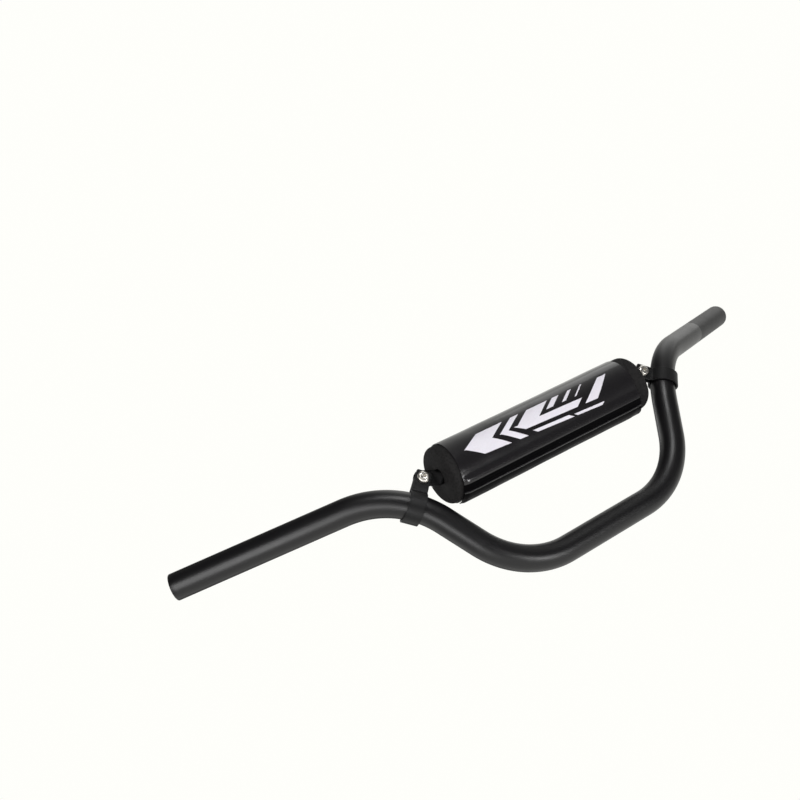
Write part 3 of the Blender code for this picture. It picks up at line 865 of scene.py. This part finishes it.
def makeFoam():
    half = pad["length"] / 2
    outer, bore, rim = pad["foamRadius"], pad["bore"], pad["rim"]
    mouth, count = pad["mouth"], 120
    # one run of (distance from the end, radius): from the bore's mouth over the end face to the rim
    cap = []
    for i in range(5):
        turn = math.pi / 2 * i / 4
        cap.append((mouth * (1 - math.sin(turn)), bore + mouth * (1 - math.cos(turn))))
    for i in range(1, 9):
        share = i / 9
        crown = pad["crown"] * math.sin(math.pi * share)  # the end face domes a little
        cap.append((-crown, bore + mouth + (outer - rim - bore - mouth) * share))
    for i in range(9):
        turn = math.pi / 2 * i / 8
        cap.append((rim * (1 - math.cos(turn)), outer - rim + rim * math.sin(turn)))
    low, high = pad["shift"] - half, pad["shift"] + half
    rows = [(low + d, r) for d, r in cap]
    rows += [(low + rim + (pad["length"] - 2 * rim) * i / 60, outer) for i in range(1, 60)]
    rows += [(high - d, r) for d, r in reversed(cap)]
    inside = [(high - mouth - (pad["length"] - 2 * mouth) * i / 12, bore) for i in range(1, 12)]
    shape = bmesh.new()
    rings = []
    for x, r in rows + inside:
        ring = []
        share = (r - bore) / (outer - bore)
        slitHere = pad["slit"] / 2 / r
        atEnd = pad["endSwell"] * share * ease(x, high - pad["endLength"], pad["endLength"])
        for i in range(count + 1):
            angle = math.pi + slitHere + (2 * math.pi - 2 * slitHere) * i / count
            swell = (softness(x, angle) + slack(x, angle)) * share
            push = atEnd * (0.5 - 0.5 * math.sin(angle))
            ring.append(shape.verts.new((x + push, (r + swell) * math.cos(angle),
                                         (r + swell) * math.sin(angle) + lift(x) * share)))
        rings.append(ring)
    loop = rings + [rings[0]]
    for first, second in zip(loop, loop[1:]):
        for i in range(count):
            shape.faces.new((first[i], first[i + 1], second[i + 1], second[i]))
    # the two faces of the slit
    for edge in (0, count):
        line = [ring[edge] for ring in rings]
        shape.faces.new(line)
    bmesh.ops.recalc_face_normals(shape, faces=shape.faces)
    mesh = meshFrom("foamRoll", shape)
    mesh.transform(padMatrix())
    piece = newObject("foamRoll", mesh, foamMaterial())
    smoothBy(piece, 60)
    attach(piece, "root")
    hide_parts("pad_foam")


def layerRadii():
    inner = pad["foamRadius"] + pad["gap"] + pad["cover"] / 2
    loop = inner + pad["cover"] / 2 + pad["gap"] + pad["tape"] / 2
    hook = loop + pad["tape"] + pad["gap"]
    flap = hook + pad["tape"] / 2 + pad["gap"] + pad["cover"] / 2
    return inner, loop, hook, flap


def coverPath():  # the sheet's section as degrees and radius, wound from under the flap to its edge
    inner, _, _, flap = layerRadii()
    start = pad["flapStart"]
    top, foot, edge = (pad[key] - 360.0 for key in ("rampTop", "rampFoot", "flapEdge"))
    count = math.ceil((start - top) / pad["turnStep"])
    path = [(start + (top - start) * i / count, inner) for i in range(count + 1)]
    for i in range(1, 12):
        share = i / 12
        path.append((top + (foot - top) * share, inner + (flap - inner) * ease(share, 0.0, 1.0)))
    count = math.ceil((foot - edge) / pad["flapStep"])
    for i in range(count + 1):
        degrees = foot + (edge - foot) * i / count
        fromWelt = (degrees + 360.0 - pad["welt"]) / pad["weltWidth"]
        path.append((degrees, flap + pad["weltHeight"] * math.exp(-fromWelt ** 2)))
    return path


def wrapSheet(name, path, ends, thickness, material, columns):
    shape = bmesh.new()
    uv = shape.loops.layers.uv.new("wrap")
    grid = []
    for degrees, radius in path:
        angle = math.radians(degrees)
        low, high = ends(degrees)
        row = []
        for j in range(columns + 1):
            x = low + (high - low) * j / columns
            row.append((shape.verts.new(onPad(x, radius, angle)), x, degrees))
        grid.append(row)
    for first, second in zip(grid, grid[1:]):
        for j in range(columns):
            corners = (first[j], first[j + 1], second[j + 1], second[j])
            face = shape.faces.new([c[0] for c in corners])
            for loop, corner in zip(face.loops, corners):
                loop[uv].uv = (corner[1], math.radians(corner[2] + 360.0) * pad["foamRadius"])
    bmesh.ops.recalc_face_normals(shape, faces=shape.faces)
    obj = newObject(name, meshFrom(name, shape), material)
    thicken(obj, thickness)
    piece = settle(obj)
    piece.data.transform(padMatrix())
    smoothBy(piece, 40)
    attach(piece, "root")
    return piece


def coverEnds(degrees):
    low, high = pad["coverEnds"]
    left, right = pad["flapCorner"]  # the flap's free corners stand out past the turn below
    out = ease(-degrees, 360.0 - pad["rampFoot"], pad["rampFoot"] - pad["flapEdge"])
    skew = pad["coverSkew"] * (0.5 + 0.5 * math.sin(math.radians(degrees)))
    return low + skew - left * out, high + right * out


printShapes = [  # corners in millimetres along the pad and up its front, each shape convex
    [(-84.8, 4), (-58.2, 3.1), (-40, 13.1), (-66, 13.3)],
    [(-70, -4.8), (-44, -6.3), (-57.5, 4.2), (-84.1, 5.1)],
    [(-51.7, 2.9), (-42.7, 2.6), (-24, 12.9), (-33, 13)],
    [(-37, -6.7), (-28, -7.2), (-42, 3.7), (-51, 4)],
    [(-34.7, 2.8), (-12.7, 2), (5, 12.6), (-17, 12.8)],
    [(-20, -7.6), (18, -9.8), (12, -6.2), (-24.5, -4.4)],
    [(-28.5, -1.9), (23, -4.2), (32, 1.3), (-37.6, 3.9)],
    [(-4, 4.8), (4, 4.6), (17, 12.5), (9, 12.6)],
    [(12, 4.4), (17, 4.3), (30, 12.4), (25, 12.4)],
    [(25, 4), (28, 4), (41, 12.3), (38, 12.3)],
    [(20, -9.9), (46, -11.4), (49.5, -8.9), (16, -7.2)],
    [(30, -4.5), (44, -5.2), (66, 11.1), (56, 11.2)],
]


def shapeMask(tree, across, up, corners):
    inside = None
    area = sum(a[0] * b[1] - b[0] * a[1] for a, b in zip(corners, corners[1:] + corners[:1]))
    if area < 0:
        corners = corners[::-1]
    for a, b in zip(corners, corners[1:] + corners[:1]):
        length = math.dist(a, b)
        nx, ny = (a[1] - b[1]) / length, (b[0] - a[0]) / length  # points inward
        offset = -(nx * a[0] + ny * a[1]) * 0.001
        side = calc(tree, "MULTIPLY_ADD", up, ny, offset)
        side = calc(tree, "MULTIPLY_ADD", across, nx, side)
        inside = side if inside is None else calc(tree, "MINIMUM", inside, side)
    return inside


def wrapCoords(tree):
    place = addNode(tree, "ShaderNodeUVMap", uv_map="wrap").outputs["UV"]
    axes = addNode(tree, "ShaderNodeSeparateXYZ", {"Vector": place})
    return axes.outputs["X"], axes.outputs["Y"]


def vinyl():
    material, tree, shader = newMaterial("printed vinyl", {"Base Color": pad["vinyl"], "Roughness": 0.13})
    where = objectCoords(tree)
    along, around = wrapCoords(tree)
    nearest = None
    for corners in printShapes:
        one = shapeMask(tree, along, around, corners)
        nearest = one if nearest is None else calc(tree, "MAXIMUM", nearest, one)
    wander = calc(tree, "MULTIPLY", calc(tree, "SUBTRACT", noiseAt(tree, where, 600.0, 2.0), 0.5), 0.00012)
    printed = remap(tree, calc(tree, "ADD", nearest, wander), 0.0002, 0.0004)
    edge = remap(tree, noiseAt(tree, where, 700.0, 3.0), 0.2, 0.8, 0.94, 1.0)
    colour = blend(tree, calc(tree, "MULTIPLY", printed, edge), pad["vinyl"], pad["print"])
    tree.links.new(colour, shader.inputs["Base Color"])
    rough = remap(tree, noiseAt(tree, where, 45.0, 5.0, 0.6), 0.3, 0.7, 0.11, 0.18, "LINEAR")
    rough = calc(tree, "ADD", rough, calc(tree, "MULTIPLY", printed, 0.16))
    tree.links.new(rough, shader.inputs["Roughness"])
    grain = noiseAt(tree, where, 2200.0, 3.0, 0.6)
    wave = noiseAt(tree, where, 55.0, 2.0)
    height = calc(tree, "ADD", calc(tree, "MULTIPLY", grain, 0.03), calc(tree, "MULTIPLY", wave, 1.0))
    height = calc(tree, "ADD", height, calc(tree, "MULTIPLY", printed, 0.05))
    addBump(tree, shader, height, 0.0004, 0.5)
    return material


def bandMaterial():  # the flap below the ridge: near-black and almost unreflective, partly a matte strip's own colour and partly painted shade under the ridge, with two sewn rows
    material, tree, shader = newMaterial("sewn flap band with painted shade", {
        "Base Color": pad["band"], "Roughness": 0.40, "Specular IOR Level": 0.01,
    })
    where = objectCoords(tree)
    along, around = wrapCoords(tree)
    lines = None
    for degrees, width in pad["bandLines"]:  # the sewn rows
        level = math.radians(degrees) * pad["foamRadius"]
        one = between(tree, around, level - width / 2, level + width / 2, width * 0.3)
        lines = one if lines is None else calc(tree, "MAXIMUM", lines, one)
    fade = remap(tree, noiseAt(tree, where, 90.0, 3.0), 0.3, 0.6, 0.35, 1.0)
    wave = calc(tree, "SINE", calc(tree, "MULTIPLY", along, 2 * math.pi / 0.0026))
    stitch = remap(tree, wave, -0.7, -0.3, 0.5, 1.0)
    lines = calc(tree, "MULTIPLY", lines, calc(tree, "MULTIPLY", fade, stitch))
    tree.links.new(blend(tree, lines, pad["band"], pad["rows"]), shader.inputs["Base Color"])
    tree.links.new(remap(tree, noiseAt(tree, where, 60.0, 4.0), 0.3, 0.7, 0.24, 0.38, "LINEAR"),
                   shader.inputs["Roughness"])
    height = calc(tree, "ADD", calc(tree, "MULTIPLY", noiseAt(tree, where, 2200.0, 3.0, 0.6), 0.04),
                  calc(tree, "MULTIPLY", lines, 0.8))
    addBump(tree, shader, height, 0.0004, 0.6)
    return material


def tapeMaterial(name, scale):
    material, tree, shader = newMaterial(name, {
        "Base Color": (0.013, 0.013, 0.014, 1.0), "Roughness": 0.92, "Sheen Weight": 0.3,
    })
    where = objectCoords(tree)
    cells = addNode(tree, "ShaderNodeTexVoronoi", {"Vector": where, "Scale": scale})
    addBump(tree, shader, cells.outputs["Distance"], 0.0002, 0.9)
    tree.links.new(remap(tree, cells.outputs["Distance"], 0.0, 0.6, 0.8, 1.0), shader.inputs["Roughness"])
    return material


def makeCover():
    piece = wrapSheet("wrappedCover", coverPath(), coverEnds, pad["cover"], vinyl(), 150)
    piece.data.materials.append(bandMaterial())
    ridge = math.radians(pad["ridge"]) * pad["foamRadius"]
    corners = piece.data.uv_layers["wrap"].data
    for face in piece.data.polygons:
        around = [corners[i].uv.y for i in face.loop_indices]
        middle = sum(around) / len(around)
        onWelt = abs(math.degrees(middle / pad["foamRadius"]) - pad["welt"]) < pad["weltStrip"]
        face.material_index = 1 if middle < ridge and not onWelt else 0
    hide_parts("pad_cover")
    _, loop, hook, _ = layerRadii()
    start, end = pad["flapStart"] - pad["tapeMargin"], pad["flapEdge"] + pad["tapeMargin"]
    tapes = (("loopTape", "loop_tape", loop, 2600.0), ("hookTape", "hook_tape", hook, 1600.0))
    for name, node, radius, scale in tapes:
        path = [(start + (end - start) * i / 14, radius) for i in range(15)]
        tape = wrapSheet(name, path, lambda degrees: pad["tapeEnds"], pad["tape"],
                         tapeMaterial(name, scale), 90)
        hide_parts(node)


makeFoam()
makeCover()
print("pad made")


# floor, lamps and world: white all round in the picture, a backdrop and a darker room in reflections

studio = {
    "floorDepth": -0.52,
    "floorRadius": 1.0,
    "aim": (-0.02, 0.0, 0.06),
    "lamps": [
        # name, place, width, height, radiance
        ("left softbox", (-0.92, -0.67, -0.11), 0.44, 0.86, 6.3),
        ("low front softbox", (0.15, -0.71, -0.42), 0.20, 0.30, 14.0),
        ("upper front softbox", (0.09, -0.93, 0.72), 0.38, 0.30, 11.0),
        ("right softbox", (1.65, 0.15, 1.27), 1.00, 1.80, 0.8),
        ("rear softbox", (-0.45, 1.30, 0.75), 0.80, 0.50, 2.2),
    ],
    "ambient": 0.38,
    "room": (0.04, 0.06),
    "roomRight": (0.20, 0.55),
    "backdropRight": (0.15, 0.60),
    "backdropRise": (0.80, 0.80),
    "farRight": (0.90, 0.97),
    "farRightRise": (0.30, 0.55),
    "rearLeft": (0.05, -0.30),
    "rearDepth": (0.10, 0.60),
    "floorWhite": (0.25, 0.75, 0.40, 1.0),
    "floorMirror": (-0.75, -0.40, 0.26, 1.0),
    "white": (0.995, 0.995, 0.96, 1.0),
}


def makeFloor():
    material, tree, shader = newMaterial("pale floor", {
        "Base Color": (0.80, 0.80, 0.79, 1.0), "Roughness": 0.7,
    })
    where = objectCoords(tree)
    rough = remap(tree, noiseAt(tree, where, 30.0, 3.0), 0.3, 0.7, 0.65, 0.8)
    tree.links.new(rough, shader.inputs["Roughness"])
    # away from the object the floor runs out into the white backdrop
    distance = addNode(tree, "ShaderNodeVectorMath", {0: where, 1: (0.0, 0.0, studio["floorDepth"])},
                       operation="DISTANCE").outputs["Value"]
    axes = addNode(tree, "ShaderNodeSeparateXYZ", {"Vector": where})
    toRear = calc(tree, "MULTIPLY_ADD", axes.outputs["X"], -0.6, axes.outputs["Y"])
    rays = tree.nodes.new("ShaderNodeLightPath").outputs
    mirrored = calc(tree, "MAXIMUM", rays["Is Glossy Ray"], rays["Is Transmission Ray"])
    share = calc(tree, "MULTIPLY", rays["Is Camera Ray"], remap(tree, distance, *studio["floorWhite"]))
    share = calc(tree, "MAXIMUM", share, mirrored)
    tone = calc(tree, "MAXIMUM", rays["Is Camera Ray"], remap(tree, toRear, *studio["floorMirror"]))
    white = addNode(tree, "ShaderNodeEmission", {"Color": studio["white"], "Strength": tone})
    mixed = addNode(tree, "ShaderNodeMixShader", {0: share, 1: shader.outputs[0], 2: white.outputs[0]})
    tree.links.new(mixed.outputs[0], tree.nodes["Material Output"].inputs["Surface"])
    shape = bmesh.new()
    bmesh.ops.create_circle(shape, cap_ends=True, segments=96, radius=studio["floorRadius"])
    mesh = meshFrom("floor", shape)
    mesh.transform(Matrix.Translation((0.0, 0.0, studio["floorDepth"])))
    newObject("floor", mesh, material)


def makeLamps():
    for name, place, width, height, radiance in studio["lamps"]:
        data = bpy.data.lights.new(name, "AREA")
        data.shape = "RECTANGLE"
        data.size = width
        data.size_y = height
        data.energy = radiance * math.pi * width * height
        lamp = addObject(name, data)
        lamp.location = place
        lamp.rotation_euler = (Vector(studio["aim"]) - Vector(place)).to_track_quat("-Z", "Y").to_euler()
        lamp.visible_camera = False


def makeWorld():
    world = bpy.data.worlds.new("world")
    bpy.context.scene.world = world
    world.use_nodes = True
    tree = world.node_tree
    for node in list(tree.nodes):
        tree.nodes.remove(node)
    direction = tree.nodes.new("ShaderNodeTexCoord").outputs["Generated"]
    axes = addNode(tree, "ShaderNodeSeparateXYZ", {"Vector": direction})
    # reflections find it white to the rear right, fading to the front, and in two patches at the sides
    x, y, z = axes.outputs["X"], axes.outputs["Y"], axes.outputs["Z"]
    level, slope = studio["backdropRise"]
    squares = calc(tree, "ADD", calc(tree, "MULTIPLY", y, y), calc(tree, "MULTIPLY", z, z))
    reach = calc(tree, "SQRT", squares)
    rise = addNode(tree, "ShaderNodeMath", {0: calc(tree, "DIVIDE", y, reach), 1: slope, 2: level},
                   operation="MULTIPLY_ADD", use_clamp=True).outputs[0]
    upper = calc(tree, "MULTIPLY_ADD", z, 3.0, y)
    farRight = calc(tree, "MULTIPLY", remap(tree, x, *studio["farRight"]),
                    remap(tree, upper, *studio["farRightRise"]))
    rearLeft = calc(tree, "MULTIPLY", remap(tree, x, *studio["rearLeft"]),
                    remap(tree, y, *studio["rearDepth"]))
    backdrop = calc(tree, "MULTIPLY", rise, remap(tree, x, *studio["backdropRight"]))
    backdrop = calc(tree, "MAXIMUM", backdrop, calc(tree, "MAXIMUM", farRight, rearLeft))
    rays = tree.nodes.new("ShaderNodeLightPath").outputs
    mirrored = calc(tree, "MAXIMUM", rays["Is Glossy Ray"], rays["Is Transmission Ray"])
    whole = calc(tree, "MAXIMUM", rays["Is Camera Ray"], calc(tree, "MULTIPLY", mirrored, backdrop))
    roomLight = remap(tree, x, *studio["roomRight"], *studio["room"])
    plain = (1.0, 1.0, 1.0, 1.0)
    ambient, room, white = (
        addNode(tree, "ShaderNodeBackground", {"Color": colour, "Strength": strength})
        for colour, strength in ((plain, studio["ambient"]), (plain, roomLight), (studio["white"], 1.0)))
    dark = addNode(tree, "ShaderNodeMixShader", {0: mirrored, 1: ambient.outputs[0], 2: room.outputs[0]})
    mixed = addNode(tree, "ShaderNodeMixShader", {0: whole, 1: dark.outputs[0], 2: white.outputs[0]})
    output = tree.nodes.new("ShaderNodeOutputWorld")
    tree.links.new(mixed.outputs[0], output.inputs["Surface"])
    bpy.context.scene.view_settings.view_transform = "Standard"


makeFloor()
makeLamps()
makeWorld()
print("studio made")
